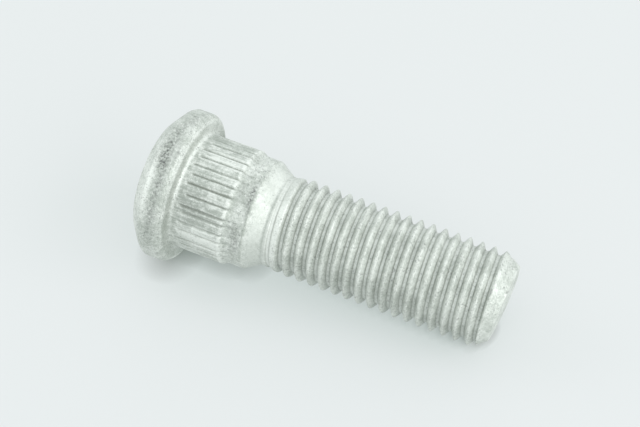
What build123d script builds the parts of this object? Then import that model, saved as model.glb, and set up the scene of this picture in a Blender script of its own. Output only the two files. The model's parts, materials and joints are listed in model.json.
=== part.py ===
from build123d import *
from math import cos, degrees, atan2, radians, sin, tan
import os

# A press-in wheel stud: bevelled round head, serrated body, tapered neck and right-hand metric thread.
# It stands on the flat face of its head at height 0, with its axis along +Z and its point upwards.

# Sizes are in millimetres and angles in degrees.

# Whole stud, from the head's flat face to the point
overall_length = 44.15

# Head: a flat face, a bevel and a straight rim
head_diameter = 18.7
head_thickness = 4.6
head_face_diameter = 14.1
head_bevel_height = 1.85
face_edge_radius = 1.0
bevel_edge_radius = 0.6
seat_edge_radius = 1.0
seat_fillet_radius = 0.5

# Serrated body: straight ribs that bite into the hub's hole
serration_diameter = 14.25
serration_length = 6.4
serration_lead = 0.8
serration_count = 36
rib_gap_width = 0.27
rib_gap_depth = 0.3
rib_gap_start = 1.0
rib_gap_ramp_angle = 40.0

# Plain shoulder and the taper down to the neck
shoulder_diameter = 13.5
shoulder_length = 1.85
taper_angle = 32.3

# Thread: the pitch sets the depth, and the neck lies a little below the crests
thread_diameter = 11.8
thread_pitch = 1.5
flank_angle = 30.0
neck_drop = 0.35
neck_length = 0.45
neck_rise_length = 2.2
runout_start = 0.2
runout_turns = 1.9
lead_turns = 0.75
groove_end_lift = 0.06
cutter_reach = 0.12

# Point: a cone that leads the nut on
point_diameter = 9.3
point_angle = 30.0

# Radii
head_radius = head_diameter / 2
serration_radius = serration_diameter / 2
shoulder_radius = shoulder_diameter / 2
crest_radius = thread_diameter / 2
neck_radius = crest_radius - neck_drop
crest_flat = thread_pitch / 8
root_flat = thread_pitch / 4
thread_depth = (thread_pitch - crest_flat - root_flat) / 2 / tan(radians(flank_angle))
root_radius = crest_radius - thread_depth
point_radius = point_diameter / 2

# Heights above the head's flat face
seat_height = head_thickness
ribs_top = seat_height + serration_length
shoulder_start = ribs_top + serration_lead
taper_start = shoulder_start + shoulder_length
taper_top = taper_start + (shoulder_radius - neck_radius) / tan(radians(taper_angle))
neck_top = taper_top + neck_length
thread_start = neck_top + neck_rise_length
cone_foot = overall_length - (crest_radius - point_radius) / tan(radians(point_angle))
stock_top = overall_length + 3 * thread_pitch


def turned_stock():
    """The stud's outline turned about its axis, with the threaded end still too long.

    It is turned on by a quarter of a rib's pitch, so that the seam of its round faces lies on a rib.
    """
    rim_height = head_thickness - head_bevel_height
    outline = [
        (0, 0),
        (head_face_diameter / 2, 0),
        (head_radius, head_bevel_height),
        (head_radius, seat_height),
        (serration_radius, seat_height),
        (serration_radius, ribs_top),
        (shoulder_radius, shoulder_start),
        (shoulder_radius, taper_start),
        (neck_radius, taper_top),
        (neck_radius, neck_top),
        (crest_radius, thread_start),
        (crest_radius, stock_top),
        (0, stock_top),
    ]
    head_corners = [face_edge_radius, bevel_edge_radius, min(seat_edge_radius, rim_height / 2), seat_fillet_radius]
    sharp_corners = [0] * (len(outline) - 2 - len(head_corners))
    side = FilletPolyline(outline, radius=head_corners + sharp_corners)
    middle = Line(side @ 1, side @ 0)
    stock = revolve(Plane.XZ * make_face([side, middle]), axis=Axis.Z)
    return Rot(0, 0, 360 / serration_count / 4) * stock


def thread_helix(origin, start, height, first_radius, last_radius):
    """One stretch of the helix that leaves the +X side at the origin's height, on a cone or a cylinder."""
    lean = atan2(last_radius - first_radius, height)
    stretch = Edge.make_helix(
        thread_pitch / cos(lean), height, first_radius, (0, 0, start), (0, 0, 1), degrees(lean)
    )
    return Rot(0, 0, 360 * (start - origin) / thread_pitch) * stretch


def thread_groove():
    """A trapezoid carried along the helix of the thread's root.

    The groove lifts out of the neck over the run-out turns, and out of the point's cone over the lead
    turns. The crests lie so that one of them, carried on, would meet the point's plane on the +X side.
    """
    bottom = taper_top + runout_start
    runout_height = runout_turns * thread_pitch
    lead_height = lead_turns * thread_pitch
    full_height = cone_foot - bottom - runout_height
    neck_lift = neck_radius - root_radius + groove_end_lift
    cone_lift = crest_radius - lead_height * tan(radians(point_angle)) - root_radius + groove_end_lift
    path = Wire([
        thread_helix(bottom, bottom, runout_height, root_radius + neck_lift, root_radius),
        thread_helix(bottom, bottom + runout_height, full_height, root_radius, root_radius),
        thread_helix(bottom, cone_foot, lead_height, root_radius, root_radius + cone_lift),
    ])

    depth = thread_depth + cutter_reach
    half_root = root_flat / 2
    half_mouth = half_root + depth * tan(radians(flank_angle))
    section = Polyline((0, -half_root), (depth, -half_mouth), (depth, half_mouth), (0, half_root), close=True)
    start_plane = Plane(origin=path @ 0, x_dir=(1, 0, 0), z_dir=(0, 1, 0))
    groove = sweep(start_plane * make_face(section), path=path, is_frenet=True)
    turns_to_crest_plane = (overall_length + thread_pitch / 2 - bottom) / thread_pitch
    return Rot(0, 0, -360 * turns_to_crest_plane) * groove


def point_trim():
    """What is turned off the over-long end: all above the point and outside its cone."""
    clear_radius = crest_radius + 1
    clear_height = overall_length - (clear_radius - point_radius) / tan(radians(point_angle))
    waste = Polyline(
        (0, overall_length),
        (point_radius, overall_length),
        (clear_radius, clear_height),
        (clear_radius, stock_top + 1),
        (0, stock_top + 1),
        close=True,
    )
    return revolve(Plane.XZ * make_face(waste), axis=Axis.Z)


def rib_gaps():
    """The V grooves between the ribs: each ramps in above the seat and runs out over the ribs' lead."""
    floor_radius = serration_radius - rib_gap_depth
    mouth_radius = serration_radius + rib_gap_depth
    half_mouth = rib_gap_width / 2 * (mouth_radius - floor_radius) / rib_gap_depth
    bottom = seat_height + rib_gap_start
    vee = Polyline((floor_radius, 0), (mouth_radius, -half_mouth), (mouth_radius, half_mouth), close=True)
    straight = extrude(Pos(0, 0, seat_height) * make_face(vee), shoulder_start - seat_height)
    ramp = radians(rib_gap_ramp_angle)
    ramp_plane = Plane(origin=(serration_radius, 0, bottom), x_dir=(0, 1, 0), z_dir=(sin(ramp), 0, cos(ramp)))
    gap = split(straight, bisect_by=ramp_plane, keep=Keep.TOP)
    return PolarLocations(0, serration_count) * gap


def wheel_stud():
    """The turned stock with its thread, point and serrations cut."""
    threaded = turned_stock() - thread_groove()
    pointed = threaded - point_trim()
    return pointed - rib_gaps()


os.makedirs("parts", exist_ok=True)
export_step(wheel_stud(), "parts/wheel_stud.step")
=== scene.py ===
import json
import math

import bpy
import numpy as np
from bpy.props import FloatProperty, FloatVectorProperty, IntProperty, PointerProperty
from mathutils import Matrix, Vector


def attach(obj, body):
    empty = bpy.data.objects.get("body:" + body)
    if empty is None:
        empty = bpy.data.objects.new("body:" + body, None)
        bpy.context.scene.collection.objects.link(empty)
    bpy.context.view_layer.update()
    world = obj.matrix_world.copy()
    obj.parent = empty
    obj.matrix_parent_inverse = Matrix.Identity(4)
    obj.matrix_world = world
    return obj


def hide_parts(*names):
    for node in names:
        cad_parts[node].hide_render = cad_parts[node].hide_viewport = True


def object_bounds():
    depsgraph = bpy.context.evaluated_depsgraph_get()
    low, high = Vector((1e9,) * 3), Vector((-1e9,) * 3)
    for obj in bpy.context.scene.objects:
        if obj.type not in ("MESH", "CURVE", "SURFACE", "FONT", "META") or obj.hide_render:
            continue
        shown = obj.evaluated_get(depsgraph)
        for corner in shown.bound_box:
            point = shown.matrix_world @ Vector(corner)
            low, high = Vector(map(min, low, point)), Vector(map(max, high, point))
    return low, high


bl_info = {
    "name": "Coated Wheel Stud",
    "version": (1, 0, 0),
    "blender": (4, 5, 0),
    "location": "View3D > Sidebar > Wheel Stud",
    "description": "Builds a coated press-in wheel stud, and the table and light it is shown in",
    "category": "Add Mesh",
}

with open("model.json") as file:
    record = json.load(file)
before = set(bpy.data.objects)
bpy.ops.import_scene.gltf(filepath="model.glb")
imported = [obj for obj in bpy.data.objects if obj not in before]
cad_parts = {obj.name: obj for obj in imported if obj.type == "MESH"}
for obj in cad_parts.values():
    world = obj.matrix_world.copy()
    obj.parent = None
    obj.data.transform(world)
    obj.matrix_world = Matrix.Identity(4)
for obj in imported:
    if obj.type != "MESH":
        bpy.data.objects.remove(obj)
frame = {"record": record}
cad_low, cad_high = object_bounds()
mounts = {mount["name"]: mount for mount in frame["record"]["mounts"]}
press_fit = mounts["hub_press_fit"]
nut_thread = mounts["nut_thread"]

MM = 0.001
DEGREE = math.radians(1)

# Points along the arc that rounds one corner of the outline
ARC_POINTS = 16
# Columns of the skin for each rib's pitch, on the ribs and elsewhere
RIB_COLUMNS = 12
PLAIN_COLUMNS = 3
# How far the columns are drawn towards the gaps between the ribs
COLUMN_PULL = 0.6
# Rows of the skin for each pitch of the thread, and the steps between its rows elsewhere
THREAD_ROWS = 31
FACE_STEP = 0.4 * MM
RIM_STEP = 0.09 * MM
RIB_STEP = 0.2 * MM
TAPER_STEP = 0.08 * MM

# Seeds of the small differences between the gaps and of the coat's waves
GAP_SEED = 143265
WAVE_SEED = 7
# Plane waves that are added up into the coat's unevenness, and the range of their lengths
WAVE_COUNT = 40
SHORTEST_WAVE = 0.7 * MM
LONGEST_WAVE = 3.5 * MM

# Mean height of the burrs on the ribs' ends and its spread, as shares, and their half length in heights
BURR_MEAN = 0.7
BURR_SPREAD = 0.3
BURR_LENGTH = 3

# Darkening of the seat, and how far it keeps from the rim and climbs the fillet, in radii of the roundings
# there
SEAT_DARKENING = 0.4
SEAT_EDGE_CLEAR = 0.85
SEAT_FILLET_CLIMB = 0.3
# Shares of a gap's depth at which its darkening, grime and painted shade, begins and is full
GAP_DIRT_AND_SHADE_START = 0.25
GAP_DIRT_AND_SHADE_FULL = 0.875
# Factor on the grime and painted shade at the camera's side, which falls by the sine of the angle from there
NEAR_DIRT_AND_SHADE = 1.35
# How fast the wear on the crests fades where the groove runs out
CREST_WEAR_FADE = 3

# Painted highlight in the thread's roots, where light falls on their floor, and the share of their half
# width that it takes
ROOT_SHINE = 0.25
ROOT_SHINE_WIDTH = 0.6
# Painted highlights on the ribs' worn edges before and beyond a gap, and where a gap begins
EDGE_SHINE_BEFORE = 0.3
EDGE_SHINE_BEYOND = 0.45
GAP_START_SHINE = 0.5

# How calm the coat lies on the taper and where the thread starts, and the length over which it calms
TAPER_CALM = 0.6
THREAD_CALM = 0.1
CALM_LENGTH = 1.0 * MM
# Dullness that the calm coat settles to
CALM_DULLNESS = 0.5

# Patches of the coat: grains in a millimetre, detail, and the levels of noise between which they fade in
CLOUDS = (0.5, 3, 0.38, 0.62)
MOTTLES = (2.6, 4, 0.38, 0.62)
FLAKES = (7.0, 2, 0.36, 0.64)
# Glints are painted highlights: sparse bright specks in the coat's colour
GLINTS = (6.5, 1, 0.60, 0.70)
STREAKS = (4.5, 2, 0.40, 0.60)
CLUSTERS = (0.7, 2, 0.34, 0.52)
PINHOLES = (5.0, 2, 0.59, 0.66)
RUBS = (3.4, 3, 0.36, 0.68)
# Scale of the streaks' noise along the axis, which draws them out
STREAK_SCALE = 0.12
# Share of the pinholes' clusters that the drawn ribs lack
RIB_CLEANNESS = 0.5
# Grains in a millimetre, detail and strength of the coat's relief
RELIEF_GRAIN = 3.5
RELIEF_DETAIL = 3.0
RELIEF_STRENGTH = 0.6

# Colour of the light in the room
PALE_LIGHT = (0.945, 0.99, 1.0)

# Marks on the coat: angle from the camera's side, height in millimetres, half widths of both, and strength
DARK_MARKS = (
    # Head's rim
    (-53, 3.4, 7, 0.60, 0.55),
    (-26, 2.7, 20, 0.75, 0.80),
    (-20, 4.0, 5, 0.30, 0.60),
    (-12, 2.8, 9, 0.60, 0.75),
    (4, 3.2, 8, 0.45, 0.55),
    (28, 3.2, 20, 0.60, 0.60),
    # Ribs
    (16, 7.8, 18, 2.60, 0.35),
    # Shoulder
    (-20, 11.9, 16, 0.40, 0.35),
    (-14, 13.25, 11, 0.42, 1.10),
    (2, 13.5, 8, 0.25, 0.60),
    (24, 12.5, 8, 0.70, 0.45),
    (40, 12.9, 11, 0.60, 0.75),
    # Last turn and point
    (-30, 43.6, 1.5, 0.12, 0.60),
    (-16, 44.0, 2, 0.12, 0.80),
    (-10, 42.4, 9, 0.12, 0.80),
    (8, 43.3, 1.5, 0.15, 0.70),
    (15, 42.0, 2, 0.35, 0.60),
)
# The same for the tone and for painted light: pale above nought, grey below. Many marks are painted
# highlights and painted shade, others the coat's own tone
TONE_AND_LIGHT_MARKS = (
    # Bevel and rim: a painted highlight along the bevel, and grey patches
    (-63, 1.7, 16, 1.70, -0.35),
    (-25, 2.8, 25, 0.70, -0.45),
    (0, 4.15, 90, 0.30, -0.20),
    (4, 1.95, 16, 0.45, 0.70),
    (32, 3.2, 22, 0.80, -0.35),
    # Seat and fillet: painted highlight lines along the fillet and the rim's edge, and painted shade on the
    # seat's lower side
    (-47, 5.0, 26, 0.35, 0.45),
    (-25, 4.9, 45, 0.09, 0.60),
    (-20, 4.5, 60, 0.06, 0.50),
    (-8, 4.3, 14, 0.20, 0.30),
    (8, 4.9, 12, 0.25, 0.45),
    (54, 4.7, 28, 0.28, -0.50),
    # Ribs
    (-64, 8.0, 10, 2.80, -0.50),
    (-41, 8.4, 6, 2.80, 0.40),
    (10, 8.0, 25, 2.50, -0.25),
    (48, 8.4, 12, 2.60, 0.60),
    # Ends of the ribs
    (-40, 11.1, 12, 0.25, -0.30),
    (-10, 11.4, 7, 0.35, 0.35),
    (0, 11.5, 90, 0.30, -0.40),
    (8, 11.5, 10, 0.35, -0.20),
    # Shoulder: pale and grey patches, and a painted shade line at its edge to the taper
    (-50, 12.8, 9, 1.00, 0.40),
    (-10, 12.5, 25, 0.90, -0.40),
    (3, 12.5, 7, 0.50, 0.30),
    (15, 13.65, 50, 0.14, -0.60),
    # Taper and neck: a painted shade line in the corner of taper and neck, and painted highlights on the
    # first rings
    (-48, 14.7, 12, 0.80, 0.25),
    (0, 14.7, 70, 0.75, 0.12),
    (50, 14.7, 25, 1.20, -0.15),
    (0, 15.78, 90, 0.12, -0.40),
    (2, 16.2, 40, 0.18, 0.20),
    (0, 16.8, 90, 0.90, 0.25),
    (4, 17.15, 40, 0.22, 0.25),
    (38, 16.8, 25, 0.80, 0.30),
    # Thread: painted light on its upper side and painted shade on its lower side
    (-50, 31.0, 10, 12.00, 0.30),
    (52, 31.0, 18, 12.00, -0.15),
)


class StudShape(bpy.types.PropertyGroup):
    """Sizes of the stud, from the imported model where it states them"""

    overall_length: FloatProperty(
        name="Overall Length", description="From the head's flat face to the point",
        default=cad_high.z, unit="LENGTH")
    head_diameter: FloatProperty(
        name="Head Diameter", description="Across the head's rim",
        default=cad_high.y - cad_low.y, unit="LENGTH")
    head_thickness: FloatProperty(
        name="Head Thickness", description="From the head's flat face to its seat",
        default=mounts["hub_seat"]["pos_m"][2], unit="LENGTH")
    head_face_diameter: FloatProperty(
        name="Head Face Diameter", description="Across the flat face, before its edge is rounded",
        default=14.1 * MM, unit="LENGTH")
    head_bevel_height: FloatProperty(
        name="Head Bevel Height", description="Height of the bevel between the face and the rim",
        default=1.85 * MM, unit="LENGTH")
    face_edge_radius: FloatProperty(
        name="Face Edge Radius", description="Rounding between the flat face and the bevel",
        default=1.0 * MM, unit="LENGTH")
    bevel_edge_radius: FloatProperty(
        name="Bevel Edge Radius", description="Rounding between the bevel and the rim, under the coat",
        default=0.9 * MM, unit="LENGTH")
    seat_edge_radius: FloatProperty(
        name="Seat Edge Radius", description="Rounding between the rim and the seat",
        default=1.0 * MM, unit="LENGTH")
    seat_fillet_radius: FloatProperty(
        name="Seat Fillet Radius", description="Fillet between the seat and the ribs",
        default=0.5 * MM, unit="LENGTH")
    serration_diameter: FloatProperty(
        name="Serration Diameter", description="Across the tops of the ribs",
        default=2 * press_fit["dims"]["r_mm"] * MM, unit="LENGTH")
    ribs_top: FloatProperty(
        name="Ribs Top", description="Height at which the ribs begin to slope down",
        default=press_fit["pos_m"][2] + press_fit["dims"]["length_mm"] / 2 * MM, unit="LENGTH")
    serration_lead: FloatProperty(
        name="Serration Lead", description="Length of the ribs' sloped ends",
        default=0.8 * MM, unit="LENGTH")
    serration_count: IntProperty(
        name="Serrations", description="Ribs around the body", default=36, min=3)
    rib_gap_width: FloatProperty(
        name="Rib Gap Width", description="Width of a gap at the ribs' tops",
        default=0.27 * MM, unit="LENGTH")
    rib_gap_depth: FloatProperty(
        name="Rib Gap Depth", description="Depth of a gap", default=0.3 * MM, unit="LENGTH")
    rib_gap_start: FloatProperty(
        name="Rib Gap Start", description="Height above the seat at which the gaps begin",
        default=1.0 * MM, unit="LENGTH")
    rib_gap_ramp: FloatProperty(
        name="Rib Gap Ramp", description="Slope of a gap's floor where it begins, from the axis",
        default=50 * DEGREE, subtype="ANGLE")
    rib_gap_wander: FloatProperty(
        name="Rib Gap Wander", description="How far a gap may lie beside its even place",
        default=2 * DEGREE, subtype="ANGLE")
    rib_gap_start_spread: FloatProperty(
        name="Rib Gap Start Spread", description="How far a gap may begin above or below its even height",
        default=0.35 * MM, unit="LENGTH")
    rib_gap_depth_spread: FloatProperty(
        name="Rib Gap Depth Spread", description="Share by which a gap may be deeper or shallower",
        default=0.3, min=0, max=1, subtype="FACTOR")
    rib_rounding: FloatProperty(
        name="Rib Rounding", description="Softness of the ribs' edges under the coat",
        default=0.12 * MM, unit="LENGTH")
    rib_crown: FloatProperty(
        name="Rib Crown", description="How far the ribs' tops fall towards the gaps",
        default=0.13 * MM, unit="LENGTH")
    # A rib's worn edge is brightened by a painted highlight
    rib_lip: FloatProperty(
        name="Rib Lip", description="Distance of a rib's bright worn edge from the middle of the gap",
        default=0.29 * MM, unit="LENGTH")
    rib_lip_width: FloatProperty(
        name="Rib Lip Width", description="Half width of a rib's bright worn edge",
        default=0.1 * MM, unit="LENGTH")
    rib_tip: FloatProperty(
        name="Rib Tip", description="Height of the burr where a rib begins to slope down",
        default=0.05 * MM, unit="LENGTH")
    shoulder_diameter: FloatProperty(
        name="Shoulder Diameter", description="Across the plain shoulder",
        default=13.5 * MM, unit="LENGTH")
    shoulder_length: FloatProperty(
        name="Shoulder Length", description="Length of the plain shoulder",
        default=1.85 * MM, unit="LENGTH")
    taper_angle: FloatProperty(
        name="Taper Angle", description="Slope of the taper from the axis",
        default=32.3 * DEGREE, subtype="ANGLE")
    turned_edge_radius: FloatProperty(
        name="Turned Edge Radius", description="Rounding of the edges from the shoulder to the point",
        default=0.12 * MM, unit="LENGTH")
    neck_drop: FloatProperty(
        name="Neck Drop", description="How far the neck lies below the crests",
        default=0.35 * MM, unit="LENGTH")
    neck_length: FloatProperty(
        name="Neck Length", description="Length of the plain neck", default=0.45 * MM, unit="LENGTH")
    thread_diameter: FloatProperty(
        name="Thread Diameter", description="Across the crests",
        default=2 * nut_thread["dims"]["r_mm"] * MM, unit="LENGTH")
    thread_start: FloatProperty(
        name="Thread Start", description="Height at which the crests reach their full diameter",
        default=nut_thread["pos_m"][2] - nut_thread["dims"]["length_mm"] / 2 * MM, unit="LENGTH")
    cone_foot: FloatProperty(
        name="Cone Foot", description="Height at which the point's cone meets the crests",
        default=nut_thread["pos_m"][2] + nut_thread["dims"]["length_mm"] / 2 * MM, unit="LENGTH")
    thread_pitch: FloatProperty(
        name="Thread Pitch", description="Distance between crests", default=1.5 * MM, unit="LENGTH")
    flank_angle: FloatProperty(
        name="Flank Angle", description="Slope of the thread's flanks", default=30 * DEGREE, subtype="ANGLE")
    runout_start: FloatProperty(
        name="Run-out Start", description="Height above the taper at which the groove begins",
        default=0.2 * MM, unit="LENGTH")
    runout_turns: FloatProperty(
        name="Run-out Turns", description="Turns over which the groove reaches its depth", default=1.9)
    lead_turns: FloatProperty(
        name="Lead Turns", description="Turns over which the groove lifts out of the point's cone",
        default=0.75)
    groove_end_lift: FloatProperty(
        name="Groove End Lift", description="How far above the neck and the cone the groove ends",
        default=0.06 * MM, unit="LENGTH")
    crest_rounding: FloatProperty(
        name="Crest Rounding", description="Softness of the crests under the coat",
        default=0.25 * MM, unit="LENGTH")
    root_rounding: FloatProperty(
        name="Root Rounding", description="Softness of the corners beside the roots",
        default=0.05 * MM, unit="LENGTH")
    # The darkening in the thread's corners is grime and painted shade
    dirt_and_shade_width: FloatProperty(
        name="Grime Width", description="Half width of the grime in the thread's corners",
        default=0.055 * MM, unit="LENGTH")
    dirt_and_shade_depth: FloatProperty(
        name="Grime Depth", description="Depth of groove at which the grime in its corners is full",
        default=0.12 * MM, unit="LENGTH")
    crest_wear: FloatProperty(
        name="Crest Wear", description="Share of the grime that lies on the worn crests",
        default=0.3, min=0, max=1, subtype="FACTOR")
    point_diameter: FloatProperty(
        name="Point Diameter", description="Across the flat at the point", default=9.3 * MM, unit="LENGTH")
    point_slant: FloatProperty(
        name="Point Slant", description="How much lower the point's end lies on the side it slants to",
        default=0.6 * MM, unit="LENGTH")
    coat_unevenness: FloatProperty(
        name="Coat Unevenness", description="Height of the coat's soft waves",
        default=0.008 * MM, unit="LENGTH")


class CoatLook(bpy.types.PropertyGroup):
    """Colours and finish of the zinc-flake coat"""

    pale_colour: FloatVectorProperty(
        name="Pale Coat", description="Coat where the flakes lie bright", size=3, subtype="COLOR",
        default=(0.63, 0.657, 0.617), min=0, max=1)
    grey_colour: FloatVectorProperty(
        name="Grey Coat", description="Coat where the flakes lie dull", size=3, subtype="COLOR",
        default=(0.33, 0.36, 0.322), min=0, max=1)
    smudge_colour: FloatVectorProperty(
        name="Smudge", description="Dark handling marks and pinholes", size=3, subtype="COLOR",
        default=(0.10, 0.105, 0.10), min=0, max=1)
    # Darkening colour: grime, and painted shade in the thread's corners and the gaps between ribs
    dirt_and_shade_colour: FloatVectorProperty(
        name="Grime", description="Grime in the corners of the thread and the gaps between ribs", size=3,
        subtype="COLOR", default=(0.26, 0.28, 0.245), min=0, max=1)
    cloud_amount: FloatProperty(
        name="Clouds", description="How far the broad clouds dull the coat",
        default=0.37, min=0, max=1, subtype="FACTOR")
    mottle_amount: FloatProperty(
        name="Mottles", description="How far the mottles dull the coat",
        default=0.3, min=0, max=1, subtype="FACTOR")
    flake_amount: FloatProperty(
        name="Flakes", description="How far the fine flakes dull the coat",
        default=0.26, min=0, max=1, subtype="FACTOR")
    # The glints are painted highlights
    glint_amount: FloatProperty(
        name="Glints", description="How far the glints brighten the coat",
        default=0.4, min=0, max=1, subtype="FACTOR")
    streak_amount: FloatProperty(
        name="Streaks", description="How far the drawn streaks dull the ribs",
        default=0.35, min=0, max=1, subtype="FACTOR")
    # How far the grime and painted shade cover the coat
    dirt_and_shade_amount: FloatProperty(
        name="Grime Amount", description="How far full grime covers the coat",
        default=0.8, min=0, max=1, subtype="FACTOR")
    rub_amount: FloatProperty(
        name="Rubs", description="How far a handling mark is broken up by rubbing",
        default=0.85, min=0, max=1, subtype="FACTOR")
    least_mark: FloatProperty(
        name="Least Mark", description="What stays of a handling mark where it is rubbed off",
        default=0.12, min=0, max=1, subtype="FACTOR")
    pinhole_amount: FloatProperty(
        name="Pinholes", description="How dark the pinholes are",
        default=0.55, min=0, max=1, subtype="FACTOR")
    roughness: FloatProperty(
        name="Roughness", description="Mean roughness of the coat",
        default=0.52, min=0, max=1, subtype="FACTOR")
    flake_roughness: FloatProperty(
        name="Flake Roughness", description="How far the roughness changes from flake to flake",
        default=0.12, min=0, max=1, subtype="FACTOR")
    stain_roughness: FloatProperty(
        name="Stain Roughness", description="How much rougher marks and pinholes are",
        default=0.2, min=0, max=1, subtype="FACTOR")
    metallic: FloatProperty(
        name="Metallic", description="How metallic the coat is",
        default=0.25, min=0, max=1, subtype="FACTOR")
    relief_depth: FloatProperty(
        name="Relief Depth", description="Depth of the coat's fine relief", default=0.03 * MM, unit="LENGTH")


class StageLook(bpy.types.PropertyGroup):
    """The table, the light and the camera"""

    table_colour: FloatVectorProperty(
        name="Table", description="Colour of the pale table", size=3, subtype="COLOR",
        default=(0.2466, 0.2193, 0.2329), min=0, max=1)
    glow_colour: FloatVectorProperty(
        name="Glow", description="Colour of the light that the table lets through from below", size=3,
        subtype="COLOR", default=(0.86, 1.0, 0.96), min=0, max=1)
    table_glow: FloatProperty(
        name="Table Glow", description="Strength of the light that the table lets through",
        default=0.5, min=0)
    table_roughness: FloatProperty(
        name="Table Roughness", description="How matt the table is",
        default=0.8, min=0, max=1, subtype="FACTOR")
    table_azimuth: FloatProperty(
        name="Table Azimuth", description="Direction that the table faces, about the stud's axis",
        default=-46.7 * DEGREE, subtype="ANGLE")
    table_lean: FloatProperty(
        name="Table Lean", description="Angle between the stud's axis and the table",
        default=5.06 * DEGREE, subtype="ANGLE")
    table_size: FloatProperty(
        name="Table Size", description="Side of the table", default=3.0, unit="LENGTH")
    shade_colour: FloatVectorProperty(
        name="Shade", description="Colour of what is left of the glow right under the stud", size=3,
        subtype="COLOR", default=(0.0, 0.07, 0.01), min=0, max=1)
    shade_at_head: FloatProperty(
        name="Shade at Head", description="Reach of the close shade on the table, at the stud's head",
        default=3.3 * MM, unit="LENGTH")
    shade_at_point: FloatProperty(
        name="Shade at Point", description="Reach of that shade at the stud's point",
        default=1.3 * MM, unit="LENGTH")
    room_light: FloatProperty(
        name="Room Light", description="Strength of the even light from all around", default=1.18, min=0)
    softbox_height: FloatProperty(
        name="Softbox Height", description="Height of both lights", default=0.3, unit="LENGTH")
    key_power: FloatProperty(
        name="Key Power", description="Power of the light beyond the point", default=2.4, unit="POWER")
    key_azimuth: FloatProperty(
        name="Key Azimuth", description="Direction of the light beyond the point, about the stud's axis",
        default=-24 * DEGREE, subtype="ANGLE")
    key_beyond: FloatProperty(
        name="Key Beyond", description="Distance of that light along the axis, from the stud's middle",
        default=0.45, unit="LENGTH")
    key_beside: FloatProperty(
        name="Key Beside", description="Distance of that light from the axis", default=0.35, unit="LENGTH")
    key_width: FloatProperty(
        name="Key Width", description="Width of that light", default=0.8, unit="LENGTH")
    head_power: FloatProperty(
        name="Head Power", description="Power of the light beyond the head", default=0.9, unit="POWER")
    head_azimuth: FloatProperty(
        name="Head Azimuth", description="Direction of the light beyond the head, about the stud's axis",
        default=-1.5 * DEGREE, subtype="ANGLE")
    head_beyond: FloatProperty(
        name="Head Beyond", description="Distance of that light along the axis, from the stud's middle",
        default=0.5, unit="LENGTH")
    head_beside: FloatProperty(
        name="Head Beside", description="Distance of that light from the axis", default=0.2, unit="LENGTH")
    head_width: FloatProperty(
        name="Head Width", description="Width of that light", default=0.6, unit="LENGTH")
    camera_azimuth: FloatProperty(
        name="Camera Azimuth", description="Direction of the camera about the stud's axis",
        default=-6.5 * DEGREE, subtype="ANGLE")
    camera_distance: FloatProperty(
        name="Camera Distance", description="From the stud's axis to the camera",
        default=150.18 * MM, unit="LENGTH")
    camera_height: FloatProperty(
        name="Camera Height", description="Height of the camera above the head's flat face",
        default=51.43 * MM, unit="LENGTH")
    aim_height: FloatProperty(
        name="Aim Height", description="Height on the stud that the camera looks at",
        default=20.07 * MM, unit="LENGTH")
    aim_offset: FloatProperty(
        name="Aim Offset", description="How far beside the stud's axis the camera looks",
        default=-2.49 * MM, unit="LENGTH")
    camera_roll: FloatProperty(
        name="Camera Roll", description="Turn of the camera about its line of sight",
        default=110.07 * DEGREE, subtype="ANGLE")
    camera_lens: FloatProperty(
        name="Lens", description="Focal length for a sensor 36 mm wide", default=73.19, unit="CAMERA")


def unit_vector(vector):
    """The vector divided by its length."""
    return vector / np.linalg.norm(vector)


def rounded_outline(corners):
    """The turned outline as a dense line: each corner (radius, height, rounding) becomes an arc.

    The arc's ends lie rounding / tan(half the corner's angle) along both runs, its centre lies
    rounding / sin(half that angle) along their bisector, and the points between turn evenly about it.
    """
    places = corners[:, :2]
    points = [places[:1]]
    share = np.linspace(0, 1, ARC_POINTS)[:, None]
    for before, here, after, rounding in zip(places, places[1:], places[2:], corners[1:, 2]):
        back = unit_vector(before - here)
        ahead = unit_vector(after - here)
        half = math.acos(np.clip(back @ ahead, -1, 1)) / 2
        centre = here + unit_vector(back + ahead) * rounding / math.sin(half)
        first = here + back * rounding / math.tan(half) - centre
        last = here + ahead * rounding / math.tan(half) - centre
        turn = math.pi - 2 * half
        swept = np.sin((1 - share) * turn) * first + np.sin(share * turn) * last
        points.append(centre + swept / math.sin(turn))
    points.append(places[-1:])
    return np.concatenate(points)


def soft_min(first, second, width):
    """The smaller of two heights, blended by a parabola where they differ by less than the width."""
    share = np.clip(0.5 + 0.5 * (second - first) / width, 0, 1)
    return second + (first - second) * share - width * share * (1 - share)


def column_angles(columns, count):
    """Angles of the columns: evenly stepped in each rib's pitch, then drawn towards the gap by a sine."""
    step = np.arange(columns * count) / columns
    return (step - COLUMN_PULL * np.sin(2 * math.pi * step) / (2 * math.pi)) * 2 * math.pi / count


def cut_nothing(shape, turned, angle, height):
    """The plain turned radius, without grime, painted shade or painted shine."""
    return turned, 0 * turned, 0 * turned


def cut_seat(shape, turned, angle, height):
    """The plain turned radius, with the seat darkened, clear of the rim."""
    seat_radius = shape.head_diameter / 2 - SEAT_EDGE_CLEAR * shape.seat_edge_radius
    seat = (turned < seat_radius) & (height > shape.head_bevel_height)
    return turned, SEAT_DARKENING * seat, 0 * turned


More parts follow.
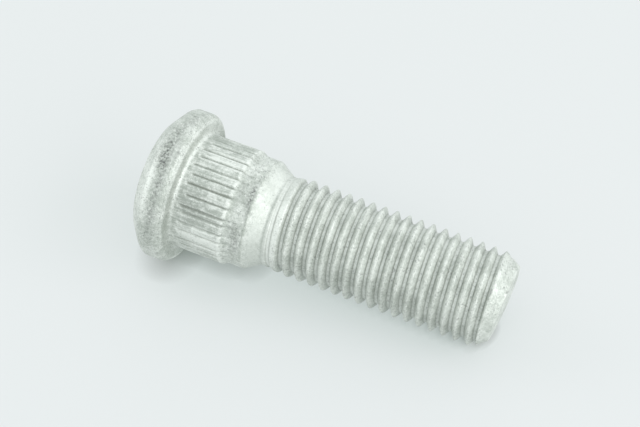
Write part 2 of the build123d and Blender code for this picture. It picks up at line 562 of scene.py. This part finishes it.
def cut_ribs(shape, turned, angle, height):
    """Radius of the ribs and the gaps between them, with grime and painted shade in the gaps, and painted
    highlights on worn edges.

    A gap's walls are the floor's radius plus the arc from the gap's middle times their slope, and the
    floor ramps in above the seat and then keeps the gap's depth. The crowned rib falls below the turned
    radius with the square of the share of the way from its flat middle, as far as the floor has ramped
    in, and a burr, a bell curve over the height, stands on its end. The radius is the softer minimum of
    rib and walls. Each gap has its own seeded place, start and depth, and each rib its own burr. Grime
    and painted shade grow with the depth in a gap. The painted highlight is a bell curve over the arc
    beside a gap, one where the gap begins, and the burr.
    """
    top = shape.serration_diameter / 2
    pitch = 2 * math.pi / shape.serration_count
    number = np.rint(angle / pitch).astype(int) % shape.serration_count
    rib = np.floor(angle / pitch).astype(int)
    aside, late, extra, burr = np.random.default_rng(GAP_SEED).uniform(-1, 1, (4, shape.serration_count))
    turn = (angle + pitch / 2) % pitch - pitch / 2 - aside[number] * shape.rib_gap_wander
    arc = np.abs(turn) * top
    start = shape.head_thickness + shape.rib_gap_start + late[number] * shape.rib_gap_start_spread
    full = shape.rib_gap_depth * (1 + extra[number] * shape.rib_gap_depth_spread)
    deep = np.minimum((height - start) * math.tan(shape.rib_gap_ramp), full)
    wall = top - deep + arc * 2 * shape.rib_gap_depth / shape.rib_gap_width
    ramped = np.clip(deep / full, 0, 1)
    inwards = np.clip(1 - arc / ((pitch / 2 - shape.rib_gap_wander) * top), 0, 1)

    end = np.exp(-((height - shape.ribs_top - shape.rib_tip) / (BURR_LENGTH * shape.rib_tip)) ** 2)
    # The burr's height also brightens its colour as a painted highlight
    stands = (BURR_MEAN + BURR_SPREAD * burr[rib]) * end * (1 - inwards)
    fall = shape.rib_crown * ramped * inwards ** 2 - shape.rib_tip * stands
    radius = soft_min(turned - fall, wall, shape.rib_rounding)

    sunk = (turned - radius) / shape.rib_gap_depth
    seat = height < shape.head_thickness + SEAT_FILLET_CLIMB * shape.seat_fillet_radius
    # Darkening in the gaps, grime and painted shade, and on the seat
    dirt_and_shade = np.interp(sunk, (GAP_DIRT_AND_SHADE_START, GAP_DIRT_AND_SHADE_FULL), (0, 1)) + SEAT_DARKENING * seat

    side = np.where(turn > 0, EDGE_SHINE_BEYOND, EDGE_SHINE_BEFORE) * (height < shape.ribs_top)
    lip = side * ramped * np.exp(-((arc - shape.rib_lip) / shape.rib_lip_width) ** 2)
    first = np.exp(-(arc / shape.rib_lip) ** 2 - ((height - start) / shape.rib_lip_width) ** 2)
    return radius, dirt_and_shade, lip + GAP_START_SHINE * first + stands


def thread_sizes(shape):
    """Radii of the crests, the neck and the roots, and the half width of the roots' flat."""
    crest = shape.thread_diameter / 2
    crest_flat = shape.thread_pitch / 8
    root_flat = shape.thread_pitch / 4
    depth = (shape.thread_pitch - crest_flat - root_flat) / 2 / math.tan(shape.flank_angle)
    return crest, crest - shape.neck_drop, crest - depth, root_flat / 2


def taper_ends(shape):
    """Heights at which the taper leaves the shoulder and meets the neck."""
    start = shape.ribs_top + shape.serration_lead + shape.shoulder_length
    fall = shape.shoulder_diameter / 2 - thread_sizes(shape)[1]
    return start, start + fall / math.tan(shape.taper_angle)


def cut_thread(shape, turned, angle, height):
    """Radius of the thread, with grime and painted shade in its corners, grime on its worn crests, and a
    painted highlight in its roots.

    The walls are the root's flat and the flanks that rise from its two edges, and the radius is the
    softer minimum of the turned radius and the walls.

    The groove's middle rises by one pitch a turn, half a pitch from the crest that meets the point's
    plane at angle 0. Over the run-out turns the root falls from above the neck to its full depth, and
    over the lead turns it rises out of the point's cone. The grime, the painted shade in the corners and
    the painted highlight in the roots are bell curves over the way across the groove, and fade where it is
    shallow.
    """
    pitch = shape.thread_pitch
    crest, neck, root, half_root = thread_sizes(shape)
    turn = (height - shape.overall_length) / pitch - angle / (2 * math.pi)
    across = (turn % 1 - 0.5) * pitch
    middle = height - across
    runout = shape.runout_turns * pitch
    runout_end = taper_ends(shape)[1] + shape.runout_start + runout
    lead = shape.lead_turns * pitch
    cone_fall = lead * (crest - shape.point_diameter / 2) / (shape.overall_length - shape.cone_foot)
    short = np.maximum(runout_end - middle, 0) / runout
    past = np.maximum(middle - shape.cone_foot, 0) / lead
    lift = short * (neck - root + shape.groove_end_lift)
    lift = lift + past * (crest - cone_fall - root + shape.groove_end_lift)
    flank = (np.abs(across) - half_root) / math.tan(shape.flank_angle)
    wall = root + lift - soft_min(-flank, 0 * flank, shape.root_rounding)

    # Darkening in the corners, grime and painted shade, full where the groove is deep
    sunk = np.clip((turned - wall) / shape.dirt_and_shade_depth, 0, 1)
    corner = np.exp(-((np.abs(across) - half_root - shape.dirt_and_shade_width / 2) / shape.dirt_and_shade_width) ** 2)
    crest_top = np.exp(-((pitch / 2 - np.abs(across)) / shape.dirt_and_shade_width) ** 2)
    worn = np.clip(1 - CREST_WEAR_FADE * lift / (neck - root), 0, 1)
    dirt_and_shade = corner * sunk + shape.crest_wear * crest_top * worn
    floor = np.exp(-(across / (ROOT_SHINE_WIDTH * half_root)) ** 2)
    return soft_min(turned, wall, shape.crest_rounding), dirt_and_shade, ROOT_SHINE * floor * sunk


def stud_grid(shape):
    """The stud's surface as rings, in one grid of radius, angle, height, grime with painted shade, and
    painted shine for each zone.

    The outline gives each ring its turned radius and its height, into which the zone's function cuts.
    """
    crest, neck = thread_sizes(shape)[:2]
    taper_start, taper_top = taper_ends(shape)
    head = shape.head_diameter / 2
    ribs = shape.serration_diameter / 2
    shoulder = shape.shoulder_diameter / 2
    edge = shape.turned_edge_radius
    outline = rounded_outline(np.array([
        (0, 0, 0),
        (shape.head_face_diameter / 2, 0, shape.face_edge_radius),
        (head, shape.head_bevel_height, shape.bevel_edge_radius),
        (head, shape.head_thickness, shape.seat_edge_radius),
        (ribs, shape.head_thickness, shape.seat_fillet_radius),
        (ribs, shape.ribs_top, edge),
        (shoulder, shape.ribs_top + shape.serration_lead, edge),
        (shoulder, taper_start, edge),
        (neck, taper_top, edge),
        (neck, taper_top + shape.neck_length, edge),
        (crest, shape.thread_start, edge),
        (crest, shape.cone_foot, edge),
        (shape.point_diameter / 2, shape.overall_length, edge),
        (0, shape.overall_length, 0),
    ]))
    along = np.concatenate([[0], np.cumsum(np.linalg.norm(np.diff(outline, axis=0), axis=1))])
    # Corner n has the points from (n - 1) * ARC_POINTS + 1 to n * ARC_POINTS, and run n comes after it
    run_middle = (along[0::ARC_POINTS] + along[1::ARC_POINTS]) / 2
    bevel_run, shoulder_run, neck_run = run_middle[1], run_middle[6], run_middle[8]
    seat_end = along[3 * ARC_POINTS + 1]
    end_face = along[12 * ARC_POINTS]
    pole = along[-1]
    zones = (
        (0, bevel_run, FACE_STEP, PLAIN_COLUMNS, cut_nothing),
        (bevel_run, seat_end, RIM_STEP, PLAIN_COLUMNS, cut_seat),
        (seat_end, shoulder_run, RIB_STEP, RIB_COLUMNS, cut_ribs),
        (shoulder_run, neck_run, TAPER_STEP, PLAIN_COLUMNS, cut_nothing),
        (neck_run, end_face, shape.thread_pitch / THREAD_ROWS, PLAIN_COLUMNS, cut_thread),
        (end_face, pole, FACE_STEP, PLAIN_COLUMNS, cut_nothing),
    )
    grids = []
    for start, end, step, columns, cut in zones:
        place = np.linspace(start, end, round((end - start) / step) + 1)[1:]
        if end == pole:
            place = place[:-1]
        angle, ring = np.meshgrid(column_angles(columns, shape.serration_count), place)
        turned = np.interp(ring, along, outline[:, 0])
        height = np.interp(ring, along, outline[:, 1])
        radius, dirt_and_shade, shine = cut(shape, turned, angle, height)
        grids.append(np.stack([radius, angle, height, dirt_and_shade, shine]))
    return grids


def band_faces(lower, upper):
    """Faces between two rings of vertex numbers: quads, or triangles where one ring has more columns.

    Each coarse vertex then has a fan over the fine steps up to its neighbour, which takes the last one.
    """
    if len(lower) == len(upper):
        return np.stack([lower, np.roll(lower, -1), np.roll(upper, -1), upper], -1)
    many, few = (lower, upper) if len(lower) > len(upper) else (upper, lower)
    steps = len(many) // len(few)
    fine = [np.roll(many, -step)[::steps] for step in range(steps + 1)]
    neighbour = np.roll(few, -1)
    fans = [np.stack([few, fine[step + 1], fine[step]], -1) for step in range(steps - 1)]
    fans.append(np.stack([few, neighbour, fine[-2]], -1))
    fans.append(np.stack([neighbour, fine[-1], fine[-2]], -1))
    triangles = np.concatenate(fans)
    return triangles[:, ::-1] if many is lower else triangles


def skin_faces(grids):
    """Faces of the closed skin: bands between all rings, and fans to both poles, the last two vertices."""
    rings = []
    count = 0
    for grid in grids:
        rows, columns = grid.shape[1:]
        rings.extend(count + np.arange(rows * columns).reshape(rows, columns))
        count += rows * columns
    bands = [band_faces(lower, upper) for lower, upper in zip(rings, rings[1:])]
    bottom, top = rings[0], rings[-1]
    bands.append(np.stack([np.roll(bottom, -1), bottom, np.full_like(bottom, count)], -1))
    bands.append(np.stack([top, np.roll(top, -1), np.full_like(top, count + 1)], -1))
    return [face for band in bands for face in band.tolist()]


def coat_waves(points):
    """Unevenness of the coat: the mean of plane waves of seeded directions, lengths and phases."""
    draw = np.random.default_rng(WAVE_SEED)
    direction = draw.normal(size=(3, WAVE_COUNT))
    direction /= np.linalg.norm(direction, axis=0)
    length = draw.uniform(SHORTEST_WAVE, LONGEST_WAVE, WAVE_COUNT)
    phase = draw.uniform(0, 2 * math.pi, WAVE_COUNT)
    return np.sin(points @ (direction * 2 * math.pi / length) + phase).sum(1) / math.sqrt(WAVE_COUNT)


def point_drop(shape, radius, angle, height, middle):
    """How far the point's end is lowered by its slant.

    It is the slant times the share of the way up the cone, times the square of the share of the way
    across to the low side, a quarter turn from the middle.
    """
    near = np.clip((height - shape.cone_foot) / (shape.overall_length - shape.cone_foot), 0, 1)
    across = 0.5 + radius * np.sin(angle - middle) / shape.point_diameter
    return shape.point_slant * near * across ** 2


def coat_marks(marks, angle, height, middle):
    """Sum of the marks: each a bell curve over the height and over the sine of the angle from its place.

    The sine brings each mark back on the far side.
    """
    total = np.zeros_like(angle)
    for place, high, wide, tall, strength in marks:
        across = np.sin(angle - middle - place * DEGREE) / math.sin(wide * DEGREE)
        total += strength * np.exp(-across ** 2 - ((height / MM - high) / tall) ** 2)
    return total


def coat_values(shape, angle, height, dirt_and_shade, shine, mark_angle):
    """What the skin tells the coat: grime with painted shade, smudge, tone with painted highlights and
    shade, where it is drawn and how calm it lies.

    Grime and painted shade fall with the sine of the angle from the camera's side. The coat calms past the
    taper's start and is lively again along the thread.
    """
    taper_start = taper_ends(shape)[0]
    calm_heights = (taper_start, taper_start + CALM_LENGTH, shape.thread_start, shape.cone_foot)
    return {
        "dirt_and_shade": dirt_and_shade * (NEAR_DIRT_AND_SHADE - np.abs(np.sin(angle - mark_angle))),
        "smudge": coat_marks(DARK_MARKS, angle, height, mark_angle),
        "tone_and_painted_light": coat_marks(TONE_AND_LIGHT_MARKS, angle, height, mark_angle) + shine,
        "drawn": (height > shape.head_thickness + shape.seat_fillet_radius) & (height < shape.ribs_top),
        "calm": np.interp(height, calm_heights, (0, TAPER_CALM, THREAD_CALM, 0)),
    }


def stud_mesh(shape, mark_angle):
    """Joins the zones' rings into one closed skin, with a pole in the middle of both end faces.

    The coat's waves move each vertex along its normal, and the coat's values are kept as attributes.
    """
    grids = stud_grid(shape)
    radius, angle, height, dirt_and_shade, shine = np.concatenate([grid.reshape(len(grid), -1) for grid in grids], 1)
    lowered = height - point_drop(shape, radius, angle, height, mark_angle)
    tip = shape.overall_length - point_drop(shape, 0, 0, shape.overall_length, mark_angle)
    rings = np.stack([radius * np.cos(angle), radius * np.sin(angle), lowered], -1)
    points = np.concatenate([rings, [(0, 0, 0), (0, 0, tip)]])
    mesh = bpy.data.meshes.new("wheel_stud_skin")
    mesh.from_pydata(points, [], skin_faces(grids))
    normals = np.zeros(points.size, np.float32)
    mesh.vertex_normals.foreach_get("vector", normals)
    waves = coat_waves(points)[:, None] * shape.coat_unevenness
    mesh.vertices.foreach_set("co", (points + normals.reshape(-1, 3) * waves).ravel())
    at_poles = np.zeros(2)
    for name, value in coat_values(shape, angle, height, dirt_and_shade, shine, mark_angle).items():
        layer = mesh.attributes.new(name, "FLOAT", "POINT")
        layer.data.foreach_set("value", np.concatenate([value, at_poles]).astype(np.float32))
    mesh.shade_smooth()
    mesh.update()
    return mesh


def add_node(tree, kind, inputs=None, **settings):
    """Adds a node, sets its options, and sets or links its inputs by name or number."""
    node = tree.nodes.new(kind)
    for name, value in settings.items():
        setattr(node, name, value)
    for key, value in (inputs or {}).items():
        if isinstance(value, bpy.types.NodeSocket):
            tree.links.new(value, node.inputs[key])
        else:
            node.inputs[key].default_value = value
    return node


def blend_colour(tree, amount, below, above):
    """A colour mixed over another by an amount."""
    node = add_node(tree, "ShaderNodeMix", {"Factor": amount}, data_type="RGBA")
    colours = [socket for socket in node.inputs if socket.type == "RGBA"]
    for socket, value in zip(colours, (below, above)):
        if isinstance(value, bpy.types.NodeSocket):
            tree.links.new(value, socket)
        else:
            socket.default_value = (*value, 1)
    return next(socket for socket in node.outputs if socket.type == "RGBA")


def arithmetic(tree, operation, first, second, clamp=False):
    """One Math node's result."""
    node = add_node(tree, "ShaderNodeMath", {0: first, 1: second}, operation=operation, use_clamp=clamp)
    return node.outputs[0]


def patches_group():
    """Node group: noise in millimetres, cut to soft patches between two levels."""
    group = bpy.data.node_groups.new("Coat Patches", "ShaderNodeTree")
    face = group.interface
    face.new_socket("Place", in_out="INPUT", socket_type="NodeSocketVector")
    for name, value in (("Grain", 1.0), ("Detail", 2.0), ("Low", 0.4), ("High", 0.6)):
        face.new_socket(name, in_out="INPUT", socket_type="NodeSocketFloat").default_value = value
    face.new_socket("Patches", in_out="OUTPUT", socket_type="NodeSocketFloat")
    given = group.nodes.new("NodeGroupInput").outputs
    noise = add_node(group, "ShaderNodeTexNoise", {
        "Vector": given["Place"], "Scale": given["Grain"], "Detail": given["Detail"]})
    cut = add_node(group, "ShaderNodeMapRange", {
        "Value": noise.outputs[0], "From Min": given["Low"], "From Max": given["High"]},
        interpolation_type="SMOOTHSTEP")
    add_node(group, "NodeGroupOutput", {"Patches": cut.outputs[0]})
    return group


def coat_patches(tree, group, place, patch):
    """One use of the patches group, with a patch's grain, detail and levels."""
    inputs = dict(zip(("Grain", "Detail", "Low", "High"), patch), Place=place)
    return add_node(tree, "ShaderNodeGroup", inputs, node_tree=group).outputs["Patches"]


def coat_material(look):
    """Matt zinc-flake coat: clouds, flakes and painted glints, under grime and painted shade, painted
    highlights and shade from the tone marks, rubbed handling marks and pinholes.
    """
    material = bpy.data.materials.new("zinc_flake_coat")
    material.use_nodes = True
    tree = material.node_tree
    shader = tree.nodes["Principled BSDF"]
    group = patches_group()

    def plus(first, second):
        return arithmetic(tree, "ADD", first, second)

    def minus(first, second, clamp=False):
        return arithmetic(tree, "SUBTRACT", first, second, clamp)

    def times(first, second, clamp=False):
        return arithmetic(tree, "MULTIPLY", first, second, clamp)

    position = add_node(tree, "ShaderNodeTexCoord").outputs["Object"]
    in_mm = {0: position, "Scale": 1 / MM}
    place = add_node(tree, "ShaderNodeVectorMath", in_mm, operation="SCALE").outputs[0]
    drawn_out = {0: place, 1: (1, 1, STREAK_SCALE)}
    streak_place = add_node(tree, "ShaderNodeVectorMath", drawn_out, operation="MULTIPLY").outputs[0]
    dirt_and_shade, smudge, tone_and_painted_light, drawn, calm = (
        add_node(tree, "ShaderNodeAttribute", attribute_name=name).outputs["Fac"]
        for name in ("dirt_and_shade", "smudge", "tone_and_painted_light", "drawn", "calm"))
    clouds, mottles, flakes, glints, clusters, pinholes, rubs = (
        coat_patches(tree, group, place, patch)
        for patch in (CLOUDS, MOTTLES, FLAKES, GLINTS, CLUSTERS, PINHOLES, RUBS))
    streaks = coat_patches(tree, group, streak_place, STREAKS)

    coarse = plus(times(clouds, look.cloud_amount), times(mottles, look.mottle_amount))
    # The glints paint highlights into the coat's colour
    fine = minus(times(flakes, look.flake_amount), times(glints, look.glint_amount))
    lines = times(times(streaks, drawn), look.streak_amount)
    dull = plus(coarse, plus(fine, lines))
    calmed = plus(dull, times(calm, minus(CALM_DULLNESS, dull)))
    # Tone marks and shine paint highlights and shade into the coat's colour
    colour = blend_colour(tree, minus(calmed, tone_and_painted_light, clamp=True), look.pale_colour, look.grey_colour)
    # Grime and painted shade in the thread's corners and the gaps between ribs, grime on the crests, and a
    # darker seat
    colour = blend_colour(tree, times(dirt_and_shade, look.dirt_and_shade_amount), colour, look.dirt_and_shade_colour)
    clean = plus(calm, times(drawn, RIB_CLEANNESS))
    specks = times(pinholes, minus(clusters, clean, clamp=True))
    marks = times(smudge, plus(times(rubs, look.rub_amount), look.least_mark), clamp=True)
    stained = arithmetic(tree, "MAXIMUM", marks, times(specks, look.pinhole_amount))
    colour = blend_colour(tree, stained, colour, look.smudge_colour)
    tree.links.new(colour, shader.inputs["Base Color"])

    rough = plus(times(flakes, look.flake_roughness), look.roughness - look.flake_roughness / 2)
    rough = plus(rough, times(stained, look.stain_roughness))
    tree.links.new(rough, shader.inputs["Roughness"])
    shader.inputs["Metallic"].default_value = look.metallic

    grain = {"Vector": place, "Scale": RELIEF_GRAIN, "Detail": RELIEF_DETAIL}
    relief = add_node(tree, "ShaderNodeTexNoise", grain).outputs[0]
    bump = add_node(tree, "ShaderNodeBump", {
        "Strength": RELIEF_STRENGTH, "Distance": look.relief_depth, "Height": relief})
    tree.links.new(bump.outputs[0], shader.inputs["Normal"])
    return material


def table_material(shape, look):
    """A matt pale table that shows only its upper side, so that the stud can be seen from below too.

    To the camera its glow fades close to the stud, a painted shadow over a reach that changes evenly from
    head to point.
    The stud itself gets the full glow.
    """
    material = bpy.data.materials.new("pale_table")
    material.use_nodes = True
    tree = material.node_tree
    shader = tree.nodes["Principled BSDF"]
    shader.inputs["Base Color"].default_value = (*look.table_colour, 1)
    shader.inputs["Roughness"].default_value = look.table_roughness
    place = add_node(tree, "ShaderNodeTexCoord").outputs["Object"]
    height = add_node(tree, "ShaderNodeSeparateXYZ", {0: place}).outputs["Z"]
    reach = add_node(tree, "ShaderNodeMapRange", {
        "Value": height, "From Min": 0.0, "From Max": shape.overall_length,
        "To Min": look.shade_at_head, "To Max": look.shade_at_point})
    # Painted shadow: the glow fades near the stud, for the camera only
    clearance = add_node(tree, "ShaderNodeAmbientOcclusion", {"Distance": reach.outputs[0]}).outputs["AO"]
    seen = add_node(tree, "ShaderNodeLightPath").outputs["Is Camera Ray"]
    lit = arithmetic(tree, "MAXIMUM", clearance, arithmetic(tree, "SUBTRACT", 1, seen))
    glow = blend_colour(tree, lit, look.shade_colour, look.glow_colour)
    tree.links.new(glow, shader.inputs["Emission Color"])
    shader.inputs["Emission Strength"].default_value = look.table_glow
    under = add_node(tree, "ShaderNodeNewGeometry").outputs["Backfacing"]
    clear = add_node(tree, "ShaderNodeBsdfTransparent").outputs[0]
    mixed = add_node(tree, "ShaderNodeMixShader", {0: under, 1: shader.outputs[0], 2: clear})
    tree.links.new(mixed.outputs[0], tree.nodes["Material Output"].inputs["Surface"])
    return material


def around_axis(azimuth):
    """The level direction at an angle about the stud's axis."""
    return Vector((math.cos(azimuth), math.sin(azimuth), 0))


def table_axes(look):
    """The table's directions: along, across and up."""
    out = around_axis(look.table_azimuth)
    up = (out * math.cos(look.table_lean) - Vector((0, 0, math.sin(look.table_lean)))).normalized()
    along = (Vector((0, 0, 1)) - up * up.z).normalized()
    return along, up.cross(along), up


def add_object(name, data):
    """Links a new object to the scene."""
    thing = bpy.data.objects.new(name, data)
    bpy.context.scene.collection.objects.link(thing)
    return thing


def add_softbox(name, power, width, height, place, target, level):
    """A rectangular light that faces the target, with its width along a level direction.

    The camera doesn't see it.
    """
    light = bpy.data.lights.new(name, "AREA")
    light.shape = "RECTANGLE"
    light.energy = power
    light.size = width
    light.size_y = height
    thing = add_object(name, light)
    thing.visible_camera = False
    back = (place - target).normalized()
    rise = back.cross(level).normalized()
    turn = Matrix((rise.cross(back), rise, back)).transposed()
    thing.matrix_world = Matrix.Translation(place) @ turn.to_4x4()


def table_mesh(shape, look):
    """A square table at its lean to the stud's axis, under the rim's end at the rounded edge of the seat."""
    along, across, up = table_axes(look)
    foot = Vector((0, 0, shape.head_thickness - shape.seat_edge_radius)) - up * shape.head_diameter / 2
    half = look.table_size / 2
    corners = [foot + along * half * i + across * half * j for i, j in ((-1, -1), (1, -1), (1, 1), (-1, 1))]
    mesh = bpy.data.meshes.new("table")
    mesh.from_pydata(corners, [], [(0, 1, 2, 3)])
    mesh.materials.append(table_material(shape, look))
    return mesh


def add_lights(shape, look):
    """One light beyond the point and one beyond the head, both turned to the stud's middle."""
    axis = Vector((0, 0, 1))
    middle = axis * shape.overall_length / 2
    key_side = around_axis(look.key_azimuth)
    head_side = around_axis(look.head_azimuth)
    key_place = middle + axis * look.key_beyond + key_side * look.key_beside
    head_place = middle - axis * look.head_beyond + head_side * look.head_beside
    add_softbox("key_softbox", look.key_power, look.key_width, look.softbox_height,
                key_place, middle, axis.cross(key_side))
    add_softbox("head_softbox", look.head_power, look.head_width, look.softbox_height,
                head_place, middle, axis.cross(head_side))


def pale_room(look):
    """A world of even pale light."""
    world = bpy.data.worlds.new("pale_room")
    world.use_nodes = True
    room = world.node_tree.nodes["Background"]
    room.inputs["Color"].default_value = (*PALE_LIGHT, 1)
    room.inputs["Strength"].default_value = look.room_light
    return world


def add_camera(look):
    """The camera, turned to its aim beside the stud's axis and rolled about its line of sight."""
    facing = around_axis(look.camera_azimuth)
    beside = Vector((-facing.y, facing.x, 0))
    place = facing * look.camera_distance + Vector((0, 0, look.camera_height))
    aim = beside * look.aim_offset + Vector((0, 0, look.aim_height))
    camera = bpy.data.cameras.new("camera")
    camera.lens = look.camera_lens
    camera.clip_start = 1 * MM
    viewer = add_object("camera", camera)
    turn = (aim - place).to_track_quat("-Z", "Y").to_matrix() @ Matrix.Rotation(look.camera_roll, 3, "Z")
    viewer.matrix_world = Matrix.Translation(place) @ turn.to_4x4()
    return viewer


class STUD_OT_build_stud(bpy.types.Operator):
    """Build the stud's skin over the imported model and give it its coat"""

    bl_idname = "stud.build_stud"
    bl_label = "Build Stud"

    def execute(self, context):
        scene = context.scene
        stud = add_object("wheel_stud_skin", stud_mesh(scene.stud_shape, scene.stud_stage.camera_azimuth))
        stud.data.materials.append(coat_material(scene.stud_coat))
        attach(stud, "root")
        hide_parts("wheel_stud")
        return {"FINISHED"}


class STUD_OT_build_stage(bpy.types.Operator):
    """Build the table, the lights, the room's even light and the camera"""

    bl_idname = "stud.build_stage"
    bl_label = "Build Stage"

    def execute(self, context):
        scene = context.scene
        shape, look = scene.stud_shape, scene.stud_stage
        add_object("table", table_mesh(shape, look))
        add_lights(shape, look)
        scene.world = pale_room(look)
        scene.view_settings.view_transform = "Standard"
        scene.camera = add_camera(look)
        return {"FINISHED"}


class STUD_PT_sidebar(bpy.types.Panel):
    """Lists the stud's sizes, its coat, its stage and the operators"""

    bl_label = "Wheel Stud"
    bl_idname = "STUD_PT_sidebar"
    bl_space_type = "VIEW_3D"
    bl_region_type = "UI"
    bl_category = "Wheel Stud"

    def draw(self, context):
        scene = context.scene
        for group in (scene.stud_shape, scene.stud_coat, scene.stud_stage):
            box = self.layout.box()
            for name in group.__annotations__:
                box.prop(group, name)
        self.layout.operator(STUD_OT_build_stud.bl_idname)
        self.layout.operator(STUD_OT_build_stage.bl_idname)


CLASSES = (StudShape, CoatLook, StageLook, STUD_OT_build_stud, STUD_OT_build_stage, STUD_PT_sidebar)


def register():
    """Registers the classes and gives the scene their properties."""
    for item in CLASSES:
        bpy.utils.register_class(item)
    bpy.types.Scene.stud_shape = PointerProperty(type=StudShape)
    bpy.types.Scene.stud_coat = PointerProperty(type=CoatLook)
    bpy.types.Scene.stud_stage = PointerProperty(type=StageLook)


def unregister():
    """Takes the properties and the classes away again."""
    del bpy.types.Scene.stud_stage
    del bpy.types.Scene.stud_coat
    del bpy.types.Scene.stud_shape
    for item in reversed(CLASSES):
        bpy.utils.unregister_class(item)


def main():
    """Builds the stud and its stage."""
    register()
    bpy.ops.stud.build_stud()
    bpy.ops.stud.build_stage()


if __name__ == "__main__":
    main()
